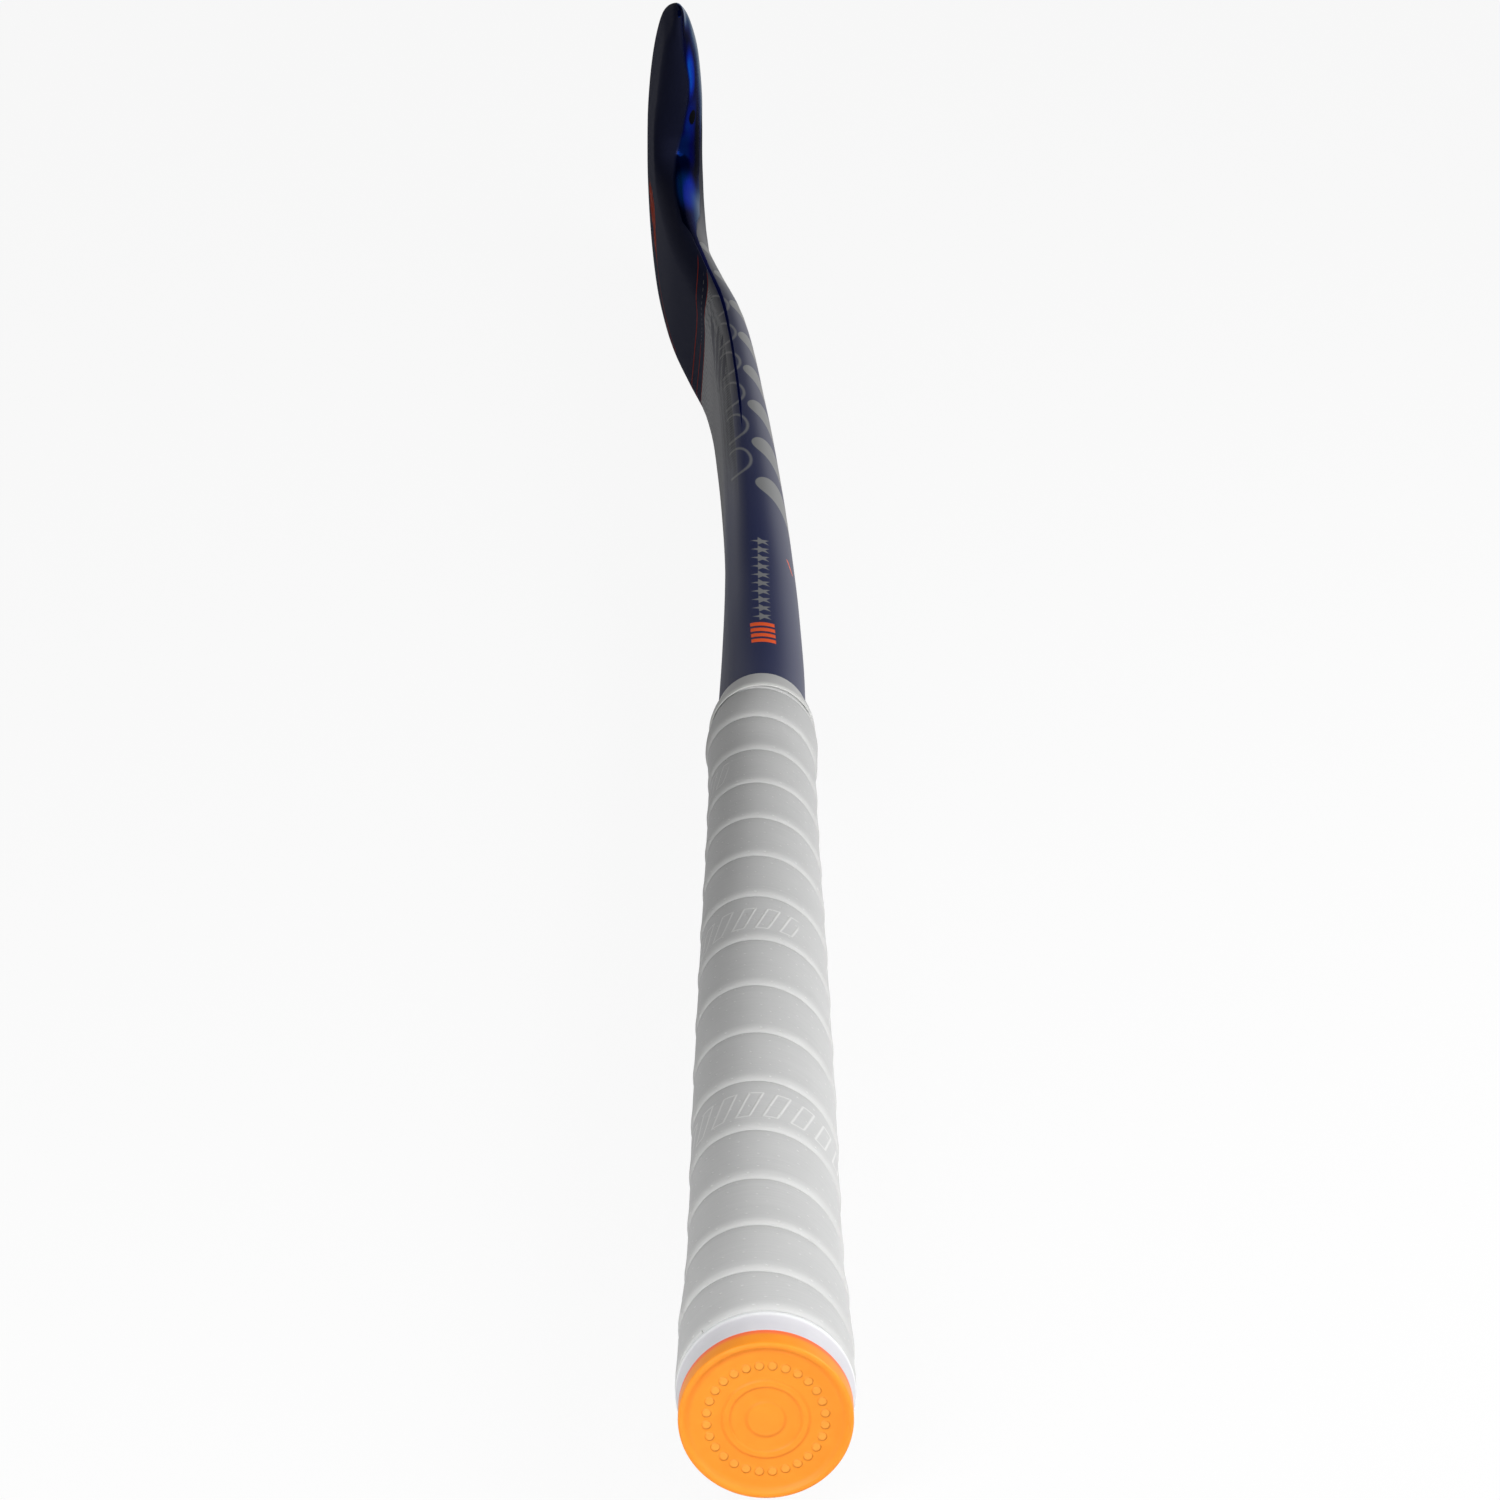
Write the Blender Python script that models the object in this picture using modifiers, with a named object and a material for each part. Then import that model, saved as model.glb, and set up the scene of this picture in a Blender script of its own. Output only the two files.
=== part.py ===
"""Indoor hockey stick: a hollow moulded shaft and hooked head with what it holds and carries.

The pieces are the moulded shell, the foam in its head, the liner left in its shaft, the plug in
its handle, the end cap, the collar round the butt, the wound grip and the finishing band.

Places are given in millimetres in the stick's own directions:
along runs from just inside the end cap to the head, face is towards the flat playing face, and
toe is towards the toe.  The stick lies on its heel edge: +Y is along, -X is face and +Z is toe.
"""
import math

import bmesh
import bpy
import numpy as np
from mathutils import Vector

MM = 0.001

# Driving dimensions in millimetres
GAP = 0.3                   # clearance between pieces that touch

SHELL_START = 1.6           # butt end of the moulded shell, just behind the cap's flange
WALL = 2.6                  # laminate thickness of the shell
LINER_WALL = 0.8

CAP_RADIUS = 18.3
CAP_FRONT = -5.2            # where the cap's rim ends, at the butt end of the stick
CAP_EDGE = 6.0              # thickness of the cap's flange at its rim
CAP_RECESS = 1.1            # depth of the cap's face below its rim
CAP_RIM = 2.2               # width of the raised rim
BOSS_RADIUS = 3.8           # of the raised disc in the middle of the cap
RING_RADIUS = 7.6           # of the raised ring round it
RING_WIDTH = 1.5
RELIEF = 0.4                # height of disc and ring above the cap's face
STEM_RADIUS = 6.0
STEM_LENGTH = 34.0
STEM_BARBS = 4
STEM_BARB_HEIGHT = 0.9

COLLAR_FRONT = 1.1
COLLAR_BEAD = 7.2           # where the collar's bead stands proudest
COLLAR_END = 8.8
COLLAR_RADIUS = 19.1

GRIP_START = 9.2
GRIP_END = 392.0
GRIP_TURNS = 15
GRIP_FIRST_EDGE = 4.5       # where the first turn's edge would cross the toe side
GRIP_PITCH = 25.4
GRIP_GATHER = 6.0           # how much the turns close up at both ends
GRIP_LAP = 0.55             # height of the raised lap along each turn's butt-side edge
GRIP_SEAM = 0.6             # open seam between one turn and the next
STEPS_PER_TURN = 24

# Thickness of the wound grip along the handle: built up at both ends, thinned under the band
GRIP_BUILD = (
    (8, 2.2), (45, 2.2), (62, 1.9), (350, 1.8), (364, 2.3), (374, 2.7), (380, 2.4), (386.5, 1.45),
    (392, 0.9),
)

BAND_START = 386.5          # the finishing band laps over the grip's thinned end
BAND_END = 400.0

# The shell's cross-sections, from the butt to the tip of the toe.  Each row is
# heel-side point (along, toe), toe-side point (along, toe), thickness, depth of the edge's
# rounding, its width, fullness of the back, and how far the front sits behind the face line.
SECTIONS = (
    ((SHELL_START, -16.3), (SHELL_START, 16.3), 32.6, 16.3, 15.8, 2.0, 0.0),
    ((30, -16.1), (30, 16.1), 32.2, 16.1, 15.6, 2.0, 0.0),
    ((62, -15.1), (62, 15.1), 30.2, 15.1, 14.6, 2.0, 0.0),
    ((150, -14.5), (150, 14.5), 29.0, 14.5, 14.0, 2.0, 0.0),
    ((240, -13.5), (240, 13.5), 27.0, 13.5, 13.0, 2.0, 0.0),
    ((320, -12.4), (320, 12.4), 24.8, 12.4, 11.9, 2.0, 0.0),
    ((405, -12.1), (405, 12.1), 24.2, 12.1, 11.6, 2.0, 0.0),
    ((470, -13.8), (470, 13.8), 22.0, 9.2, 10.4, 2.1, 0.0),
    ((530, -17.0), (530, 17.0), 19.8, 7.6, 9.4, 2.2, 0.0),
    ((610, -20.4), (610, 20.4), 17.3, 6.6, 8.6, 2.3, 0.0),
    ((700, -22.4), (700, 22.4), 15.2, 6.2, 8.0, 2.3, 0.0),
    ((790, -23.0), (790, 23.0), 15.2, 6.0, 7.4, 2.3, 0.0),
    ((850, -23.0), (842, 23.4), 17.0, 6.0, 7.0, 2.2, 0.0),
    ((880, -21.6), (863, 24.0), 17.8, 6.0, 7.0, 2.2, 0.0),
    ((908, -13.5), (874, 26.0), 18.3, 6.0, 7.0, 2.2, 0.0),
    ((924, -1.5), (879, 29.5), 18.6, 6.0, 7.0, 2.2, 0.0),
    ((930.5, 13), (879.5, 34), 18.6, 6.0, 7.0, 2.2, 0.0),
    ((928, 30), (876, 40), 18.4, 6.0, 7.0, 2.2, 0.0),
    ((919, 47), (870, 47), 17.6, 6.0, 7.0, 2.2, 0.3),
    ((905, 62.5), (862, 55.5), 15.9, 6.0, 7.0, 2.2, 0.8),
    ((886, 76), (854, 65), 13.6, 5.4, 6.4, 2.2, 1.3),
    ((866, 86.6), (846.5, 74), 10.0, 4.2, 5.2, 2.2, 2.1),
    ((853, 90.8), (841.5, 81), 5.8, 2.7, 4.0, 2.2, 3.7),
    ((844, 92.4), (839, 86.2), 3.6, 1.5, 2.4, 2.1, 4.8),
    ((839.5, 91.6), (838.2, 89.2), 1.4, 0.6, 0.9, 2.0, 6.0),
)
HANDLE_END = 6              # up to this section the shell is round about the handle's axis

# Where the pieces inside begin and end, counted in sections
PLUG_END = 2.25
LINER_START = 2.5
LINER_END = 11.8
FOAM_START = 12.0
FOAM_END = 20.5
HOLLOW_END = 20.8

# How far the playing face stands from the handle's axis: handle, low bow, then the head
FACE_LINE = (
    (405, 12.1), (440, 11.3), (500, 10.6), (550, 10.9), (600, 12.0), (650, 13.7), (700, 16.3),
    (730, 19.3), (760, 24.3), (800, 30.4), (842, 34.6), (885, 37.8), (932, 41.4),
)

EDGE_STEPS = 4              # facets round each edge of the face
FACE_STEPS = 3              # facets across the flat face
BACK_STEPS = 13             # facets round the back
RINGS_PER_SECTION = 2
TURNED_STEPS = 36

COLOURS = {
    # name: colour, roughness, metallic
    "laminate_navy": ((0.014, 0.018, 0.075), 0.35, 0.0),
    "core_foam": ((0.62, 0.55, 0.38), 0.9, 0.0),
    "liner_film": ((0.55, 0.60, 0.66), 0.4, 0.0),
    "plug_foam": ((0.12, 0.12, 0.12), 0.85, 0.0),
    "cap_orange": ((0.95, 0.30, 0.02), 0.4, 0.0),
    "collar_white": ((0.72, 0.72, 0.78), 0.45, 0.0),
    "grip_grey": ((0.52, 0.54, 0.52), 0.6, 0.0),
    "band_grey": ((0.58, 0.60, 0.58), 0.6, 0.0),
}
SECTION_ROWS = [[*heel, *toe, *rest] for heel, toe, *rest in SECTIONS]
FULL_TURN = 2 * math.pi


def clear_scene():
    """Remove whatever the file opened with."""
    for thing in list(bpy.data.objects):
        bpy.data.objects.remove(thing, do_unlink=True)


def make_material(name):
    """A plain surface in one of the stick's colours."""
    colour, roughness, metallic = COLOURS[name]
    material = bpy.data.materials.new(name)
    material.use_nodes = True
    shader = material.node_tree.nodes["Principled BSDF"]
    shader.inputs["Base Color"].default_value = (*colour, 1.0)
    shader.inputs["Roughness"].default_value = roughness
    shader.inputs["Metallic"].default_value = metallic
    return material


def add_piece(name, mesh, material, collection, frame):
    """Link a mesh as one named piece of the stick, carried by the stick's frame."""
    piece = bpy.data.objects.new(name, mesh)
    collection.objects.link(piece)
    piece.parent = frame
    mesh.materials.append(make_material(material))
    return piece


def curve_through(knots, values, x):
    """Smooth curve through the values at the knots, read at x."""
    knots = np.asarray(knots, dtype=float)
    values = np.asarray(values, dtype=float)
    step = np.diff(knots)
    rise = (np.diff(values, axis=0).T / step).T
    slope = np.empty_like(values)
    slope[0], slope[-1] = rise[0], rise[-1]
    for i in range(1, len(knots) - 1):
        before, after = rise[i - 1], rise[i]
        mean = (before * step[i] + after * step[i - 1]) / (step[i - 1] + step[i])
        steepest = 2.5 * np.minimum(abs(before), abs(after))
        slope[i] = np.where(before * after > 0, np.clip(mean, -steepest, steepest), 0)
    i = int(np.clip(np.searchsorted(knots, x, side="right") - 1, 0, len(knots) - 2))
    t = (x - knots[i]) / step[i]
    start = values[i] * (1 + 2 * t) * (1 - t) ** 2 + slope[i] * step[i] * t * (1 - t) ** 2
    end = values[i + 1] * t * t * (3 - 2 * t) - slope[i + 1] * step[i] * t * t * (1 - t)
    return start + end


def section_at(station):
    """The cross-section's numbers at a station, which may lie between two of them."""
    return curve_through(range(len(SECTION_ROWS)), SECTION_ROWS, station)


def handle_radius(along):
    """Radius of the bare handle under the grip."""
    rows = SECTION_ROWS[:HANDLE_END + 1]
    return float(curve_through([row[0] for row in rows], [row[3] for row in rows], along))


def place(along, face, toe):
    """A point of the stick in the scene's directions, in metres."""
    return Vector((-face, along, toe)) * MM


def section_outline(half_width, thickness, edge_depth, edge_width, fullness):
    """Points of a section as (across, depth behind the face), from the toe side over the face."""
    points = []
    flat = half_width - edge_width
    for i in range(EDGE_STEPS):
        turn = math.pi / 2 * i / EDGE_STEPS
        points.append((flat + edge_width * math.cos(turn), edge_depth * (1 - math.sin(turn))))
    for i in range(FACE_STEPS + 1):
        points.append((flat * (1 - 2 * i / FACE_STEPS), 0.0))
    for i in range(1, EDGE_STEPS + 1):
        turn = math.pi / 2 * (1 - i / EDGE_STEPS)
        points.append((-flat - edge_width * math.cos(turn), edge_depth * (1 - math.sin(turn))))
    for i in range(1, BACK_STEPS):
        turn = math.pi * (1 + i / BACK_STEPS)
        across = abs(math.cos(turn)) ** (2 / fullness)
        depth = abs(math.sin(turn)) ** (2 / fullness)
        points.append((math.copysign(half_width * across, math.cos(turn)),
                       edge_depth + (thickness - edge_depth) * depth))
    return points


def section_ring(station, inset=0.0):
    """One ring round the shell at a station, drawn in from its outside by the inset."""
    heel_y, heel_z, toe_y, toe_z, thickness, depth, width, fullness, back = section_at(station)
    heel = np.array((heel_y, heel_z))
    toe = np.array((toe_y, toe_z))
    half_width = np.linalg.norm(toe - heel) / 2
    across = (toe - heel) / (2 * half_width)
    middle = (toe + heel) / 2
    outline = section_outline(half_width - inset, thickness - 2 * inset, depth - inset,
                              width - inset, fullness)
    ring = []
    for u, behind in outline:
        along, towards_toe = middle + u * across
        front = thickness / 2
        if station > HANDLE_END:
            front = curve_through(*zip(*FACE_LINE), along)
        ring.append(place(along, front - back - inset - behind, towards_toe))
    return ring


def bore_ring(station, radius):
    """A ring of the given radius about the handle's axis, point for point with a section's."""
    ring = section_ring(station)
    return [Vector((point.x, 0, point.z)).normalized() * radius * MM + Vector((0, point.y, 0))
            for point in ring]


def stations(first, last):
    """The first and last station, with the shell's own rings between them."""
    inner = np.arange(0, len(SECTIONS), 1 / RINGS_PER_SECTION)
    return [first, *(float(s) for s in inner if first < s < last), last]


def skin(name, rings, material, collection, frame):
    """A closed body whose surface runs through a row of rings and is capped at both ends."""
    mesh = bpy.data.meshes.new(name)
    body = bmesh.new()
    loops = [[body.verts.new(point) for point in ring] for ring in rings]
    for lower, upper in zip(loops, loops[1:]):
        for i in range(len(lower)):
            j = (i + 1) % len(lower)
            body.faces.new((lower[i], lower[j], upper[j], upper[i]))
    body.faces.new(loops[0])
    body.faces.new(loops[-1])
    bmesh.ops.triangulate(body, faces=[face for face in body.faces if len(face.verts) > 4])
    bmesh.ops.recalc_face_normals(body, faces=body.faces)
    body.to_mesh(mesh)
    body.free()
    mesh.shade_smooth()
    mesh.set_sharp_from_angle(angle=math.radians(50))
    return add_piece(name, mesh, material, collection, frame)


def turned(name, profile, material, collection, frame, closed=False):
    """A piece turned about the handle's axis from (radius, along) points, outer side first."""
    mesh = bpy.data.meshes.new(name)
    outline = bmesh.new()
    points = [outline.verts.new((radius * MM, 0, -along * MM)) for radius, along in profile]
    for pair in zip(points, points[1:] + points[:1] if closed else points[1:]):
        outline.edges.new(pair)
    outline.to_mesh(mesh)
    outline.free()
    piece = add_piece(name, mesh, material, collection, frame)
    piece.rotation_euler = (math.pi / 2, 0, 0)
    screw = piece.modifiers.new("turn", "SCREW")
    screw.steps = TURNED_STEPS
    screw.render_steps = TURNED_STEPS
    screw.use_merge_vertices = True
    screw.merge_threshold = 0.00001
    screw.use_smooth_shade = True
    return piece


def make_shell(collection, frame):
    """The moulded shaft and head: one hollow laminate, open at the butt."""
    outside = [section_ring(station) for station in stations(0, len(SECTIONS) - 1)]
    hollow = [section_ring(station, WALL) for station in stations(0, HOLLOW_END)]
    skin("shaft_and_head_shell", outside[::-1] + hollow, "laminate_navy", collection, frame)


def make_head_foam(collection, frame):
    """Foam that fills the hollow of the head."""
    rings = [section_ring(station, WALL + GAP) for station in stations(FOAM_START, FOAM_END)]
    skin("head_foam_core", rings, "core_foam", collection, frame)


def make_liner(collection, frame):
    """The pressure liner left in the shaft after moulding, open towards the butt."""
    inset = WALL + GAP
    outside = [section_ring(station, inset) for station in stations(LINER_START, LINER_END)]
    inside = [section_ring(station, inset + LINER_WALL)
              for station in stations(LINER_START, LINER_END - 0.1)]
    skin("shaft_liner", outside[::-1] + inside, "liner_film", collection, frame)


def make_handle_plug(collection, frame):
    """Foam plug that closes the handle and grips the cap's stem in its bore."""
    outside = [section_ring(station, WALL + GAP) for station in stations(0.02, PLUG_END)]
    bore_radius = STEM_RADIUS + STEM_BARB_HEIGHT + GAP
    bore_depth = SHELL_START + STEM_LENGTH + 4
    mouth = bore_ring(0.02, bore_radius)
    floor = [Vector((point.x, bore_depth * MM, point.z)) for point in mouth]
    skin("handle_plug", outside[::-1] + [mouth, floor], "plug_foam", collection, frame)


def make_end_cap(collection, frame):
    """Moulded cap: raised rim, plain disc and ring on its face, and a barbed stem."""
    face = CAP_FRONT + CAP_RECESS
    raised = face - RELIEF
    back = CAP_FRONT + CAP_EDGE
    rim = CAP_RADIUS - CAP_RIM
    profile = [
        (0, raised), (BOSS_RADIUS - 0.8, raised), (BOSS_RADIUS, face),
        (RING_RADIUS, face), (RING_RADIUS + 0.4, raised),
        (RING_RADIUS + RING_WIDTH - 0.4, raised), (RING_RADIUS + RING_WIDTH, face),
        (rim, face), (rim + 0.9, CAP_FRONT + 0.2), (rim + 1.2, CAP_FRONT),
        (CAP_RADIUS - 0.7, CAP_FRONT), (CAP_RADIUS - 0.3, CAP_FRONT + 0.15),
        (CAP_RADIUS, CAP_FRONT + 0.7),
        (CAP_RADIUS, back - 0.3), (CAP_RADIUS - 0.3, back), (STEM_RADIUS, back),
    ]
    barb_pitch = (STEM_LENGTH - 6) / STEM_BARBS
    for i in range(STEM_BARBS):
        barb = back + 4 + i * barb_pitch
        profile += [(STEM_RADIUS, barb), (STEM_RADIUS + STEM_BARB_HEIGHT, barb + 0.5),
                    (STEM_RADIUS, barb + barb_pitch - 1)]
    tip = back + STEM_LENGTH
    profile += [(STEM_RADIUS - 1, tip), (0, tip)]
    turned("end_cap", profile, "cap_orange", collection, frame)


def make_collar(collection, frame):
    """Smooth ring round the butt, from the cap's flange over a bead to the grip."""
    bore = SECTION_ROWS[0][3] + GAP + 0.1
    profile = [
        (bore, COLLAR_FRONT), (CAP_RADIUS - 0.4, COLLAR_FRONT), (CAP_RADIUS, COLLAR_FRONT + 0.3),
        (COLLAR_RADIUS - 0.25, COLLAR_BEAD - 0.9), (COLLAR_RADIUS, COLLAR_BEAD),
        (COLLAR_RADIUS - 0.15, COLLAR_BEAD + 0.9), (COLLAR_RADIUS - 0.5, COLLAR_END - 0.8),
        (COLLAR_RADIUS - 0.7, COLLAR_END), (bore, COLLAR_END),
    ]
    turned("butt_collar", profile, "collar_white", collection, frame, closed=True)


def grip_edge(turns):
    """Where a turn's butt-side edge lies, the turns counted from the toe side."""
    gathered = GRIP_GATHER * math.sin(FULL_TURN * turns / GRIP_TURNS)
    return GRIP_FIRST_EDGE + GRIP_PITCH * turns - gathered


def grip_inner_radius(along):
    """Radius of the grip's inside: its flat facets stay clear of the handle."""
    return (handle_radius(along) + GAP) / math.cos(math.pi / STEPS_PER_TURN)


def grip_section(turns):
    """The strip's section at one place of the winding: a lapped edge, then a plain one."""
    low = max(GRIP_START, grip_edge(turns))
    high = min(GRIP_END, grip_edge(turns + 1) - GRIP_SEAM)
    # share of the strip's width, share of its thickness, share of the lap's height
    shape = ((0, 0, 0), (0, 0.8, 0), (0.05, 1, 0.9), (0.12, 1, 1), (0.3, 1, 0.1), (1, 0.92, 0), (1, 0, 0))
    angle = FULL_TURN * (turns + 0.25)
    ring = []
    for width, thickness, lap in shape:
        along = low + (high - low) * width
        build = float(curve_through(*zip(*GRIP_BUILD), along))
        lapped = GRIP_LAP * lap * min(1.0, (GRIP_END - along) / 20)
        radius = grip_inner_radius(along) + build * thickness + lapped
        ring.append(place(along, -radius * math.cos(angle), radius * math.sin(angle)))
    return ring


def make_grip(collection, frame):
    """One unbroken strip wound round the handle, each turn's edge raised where it laps."""
    narrowest = 1.5
    first = 0
    while grip_edge(first / STEPS_PER_TURN + 1) - GRIP_SEAM - GRIP_START > narrowest:
        first -= 1
    last = GRIP_TURNS * STEPS_PER_TURN
    while GRIP_END - grip_edge(last / STEPS_PER_TURN) > narrowest:
        last += 1
    rings = [grip_section(step / STEPS_PER_TURN) for step in range(first + 1, last)]
    least = min((a - b).length for lower, upper in zip(rings, rings[STEPS_PER_TURN:])
                for a in lower for b in upper)
    print(f"grip: {len(rings) / STEPS_PER_TURN:.1f} turns, least gap to itself {least / MM:.2f} mm")
    skin("grip_tape", rings, "grip_grey", collection, frame)


def make_band(collection, frame):
    """Finishing band that laps over the grip's thinned end and down onto the shaft."""
    over_grip = grip_inner_radius(BAND_START) + 1.7
    past_grip = over_grip - 0.6
    on_shaft = handle_radius(BAND_END) + GAP + 0.1
    profile = [
        (over_grip, BAND_START), (over_grip + 0.5, BAND_START), (over_grip + 0.35, BAND_START + 1.5),
        (past_grip + 0.35, GRIP_END), (on_shaft + 0.9, BAND_END - 4), (on_shaft + 0.45, BAND_END),
        (on_shaft, BAND_END), (on_shaft, GRIP_END + 1.4), (past_grip, GRIP_END + 0.4),
    ]
    turned("finishing_band", profile, "band_grey", collection, frame, closed=True)


def stand_on_heel_edge(frame):
    """Move the stick so that the middle of its box's underside is the scene's origin."""
    bpy.context.view_layer.update()
    depsgraph = bpy.context.evaluated_depsgraph_get()
    points = []
    for piece in frame.children:
        shaped = piece.evaluated_get(depsgraph)
        points += [piece.matrix_world @ vertex.co for vertex in shaped.data.vertices]
    points = np.array(points)
    low, high = points.min(axis=0), points.max(axis=0)
    frame.location = (-(low[0] + high[0]) / 2, -(low[1] + high[1]) / 2, -low[2])


def main():
    """Build every piece of the stick."""
    clear_scene()
    collection = bpy.data.collections.new("indoor_hockey_stick")
    bpy.context.scene.collection.children.link(collection)
    frame = bpy.data.objects.new("stick_frame", None)
    collection.objects.link(frame)
    make_shell(collection, frame)
    make_head_foam(collection, frame)
    make_liner(collection, frame)
    make_handle_plug(collection, frame)
    make_end_cap(collection, frame)
    make_collar(collection, frame)
    make_grip(collection, frame)
    make_band(collection, frame)
    stand_on_heel_edge(frame)


main()
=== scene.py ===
"""Indoor hockey stick: the moulded shell, wound grip, cap, collar and band in their finishes.

Lengths are in millimetres unless a name ends in _M.  A point of the stick is given by along, from
just inside the end cap to the head, face, towards the flat playing face, and toe.
"""
import math

import bmesh
import bpy
import numpy as np
from mathutils import Matrix, Vector


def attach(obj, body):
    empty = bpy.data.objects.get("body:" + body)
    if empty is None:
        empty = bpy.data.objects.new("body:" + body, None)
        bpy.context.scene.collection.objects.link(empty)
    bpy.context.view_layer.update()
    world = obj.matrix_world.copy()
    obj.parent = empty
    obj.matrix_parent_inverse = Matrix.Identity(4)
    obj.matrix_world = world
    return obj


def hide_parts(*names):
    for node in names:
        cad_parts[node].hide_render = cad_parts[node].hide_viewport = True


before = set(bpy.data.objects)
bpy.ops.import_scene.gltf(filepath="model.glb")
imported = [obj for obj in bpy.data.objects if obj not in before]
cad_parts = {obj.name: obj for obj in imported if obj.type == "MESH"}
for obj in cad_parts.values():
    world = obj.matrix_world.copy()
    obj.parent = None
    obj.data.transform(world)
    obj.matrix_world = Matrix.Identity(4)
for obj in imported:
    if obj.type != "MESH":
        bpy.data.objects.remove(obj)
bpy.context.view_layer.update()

MM = 0.001
FULL_TURN = 2 * math.pi

# Where the handle's axis and the inside of the cap lie in the scene
AXIS_X = 10.666
BUTT_Y = -462.65
AXIS_Z = 23.0

SHELL_START = 1.6
WALL = 2.6

# Heel-side point (along, toe), toe-side point (along, toe), thickness, depth of the edge's
# rounding, its width, fullness of the back, and how far the front sits behind the face line
SECTIONS = (
    ((SHELL_START, -16.3), (SHELL_START, 16.3), 32.6, 16.3, 15.8, 2.0, 0.0),
    ((30, -16.1), (30, 16.1), 32.2, 16.1, 15.6, 2.0, 0.0),
    ((62, -15.1), (62, 15.1), 30.2, 15.1, 14.6, 2.0, 0.0),
    ((150, -14.5), (150, 14.5), 29.0, 14.5, 14.0, 2.0, 0.0),
    ((240, -13.5), (240, 13.5), 27.0, 13.5, 13.0, 2.0, 0.0),
    ((320, -12.4), (320, 12.4), 24.8, 12.4, 11.9, 2.0, 0.0),
    ((405, -12.1), (405, 12.1), 24.2, 12.1, 11.6, 2.0, 0.0),
    ((470, -13.8), (470, 13.8), 22.0, 9.2, 10.4, 2.1, 0.0),
    ((530, -17.0), (530, 17.0), 19.8, 7.6, 9.4, 2.2, 0.0),
    ((610, -20.4), (610, 20.4), 17.3, 6.6, 8.6, 2.3, 0.0),
    ((700, -22.4), (700, 22.4), 15.2, 6.2, 8.0, 2.3, 0.0),
    ((790, -23.0), (790, 23.0), 15.2, 6.0, 7.4, 2.3, 0.0),
    ((850, -23.0), (842, 23.4), 17.0, 6.0, 7.0, 2.2, 0.0),
    ((880, -21.6), (863, 24.0), 17.8, 6.0, 7.0, 2.2, 0.0),
    ((908, -13.5), (874, 26.0), 18.3, 6.0, 7.0, 2.2, 0.0),
    ((924, -1.5), (879, 29.5), 18.6, 6.0, 7.0, 2.2, 0.0),
    ((930.5, 13), (879.5, 34), 18.6, 6.0, 7.0, 2.2, 0.0),
    ((928, 30), (876, 40), 18.4, 6.0, 7.0, 2.2, 0.0),
    ((919, 47), (870, 47), 17.6, 6.0, 7.0, 2.2, 0.3),
    ((905, 62.5), (862, 55.5), 15.9, 6.0, 7.0, 2.2, 0.8),
    ((886, 76), (854, 65), 13.6, 5.4, 6.4, 2.2, 1.3),
    ((866, 86.6), (846.5, 74), 10.0, 4.2, 5.2, 2.2, 2.1),
    ((853, 90.8), (841.5, 81), 5.8, 2.7, 4.0, 2.2, 3.7),
    ((844, 92.4), (839, 86.2), 3.6, 1.5, 2.4, 2.1, 4.8),
    ((839.5, 91.6), (838.2, 89.2), 1.4, 0.6, 0.9, 2.0, 6.0),
)
HANDLE_END = 6
HOLLOW_END = 20.8

FACE_LINE = (
    (405, 12.1), (440, 11.3), (500, 10.6), (550, 10.9), (600, 12.0), (650, 13.7), (700, 16.3),
    (730, 19.3), (760, 24.3), (800, 30.4), (842, 34.6), (885, 37.8), (932, 41.4),
)
EDGE_STEPS = 10
FACE_STEPS = 8
BACK_STEPS = 44
HEEL_POINT = 2 * EDGE_STEPS + FACE_STEPS
RINGS_PER_SECTION = 8
CREASE_STEP = 3             # the woven panel begins this many steps round the toe-side edge

# Grip
GAP = 0.3
GRIP_START = 9.2
GRIP_END = 392.0
GRIP_TURNS = 15
GRIP_FIRST_EDGE = 4.5
GRIP_PITCH = 25.4
GRIP_GATHER = 6.0
GRIP_OVERLAP = 3.6          # how far a turn reaches under the next
GRIP_STEPS_PER_TURN = 72
GRIP_MIDDLE_RADIUS = 16.5   # for the length of the tape's map
NARROWEST_TURN = 1.5        # where the tape's two cut ends stop
GRIP_BUILD = (
    (8, 2.2), (45, 2.2), (62, 1.9), (350, 1.8), (364, 2.3), (374, 2.7), (380, 2.4), (386.5, 1.45),
    (392, 0.9),
)
# The tape's section: distance from its butt-side edge, or from its far edge where negative,
# height of its outer side as a share of the tape's thickness, added height of the lap
TAPE_OUTSIDE = (
    (0.0, 0.74, 0.0), (0.3, 0.85, 0.03), (0.8, 0.94, 0.09), (1.4, 1.0, 0.16), (2.2, 1.0, 0.25),
    (3.2, 1.0, 0.28), (4.6, 1.0, 0.24), (6.8, 1.0, 0.15), (10.0, 1.0, 0.06), (-9.0, 1.0, 0.0),
    (-5.2, 0.97, 0.0), (-4.2, 0.88, 0.0), (-3.6, 0.66, 0.0), (-2.6, 0.5, 0.0), (-0.1, 0.3, 0.0),
)
# The same for its inner side: places past 0 are measured from the butt-side edge
TAPE_INSIDE = ((0.0, 0.02), (-5.0, 0.02), (6.0, 0.02), (3.6, 0.34), (0.05, 0.69))

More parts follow.
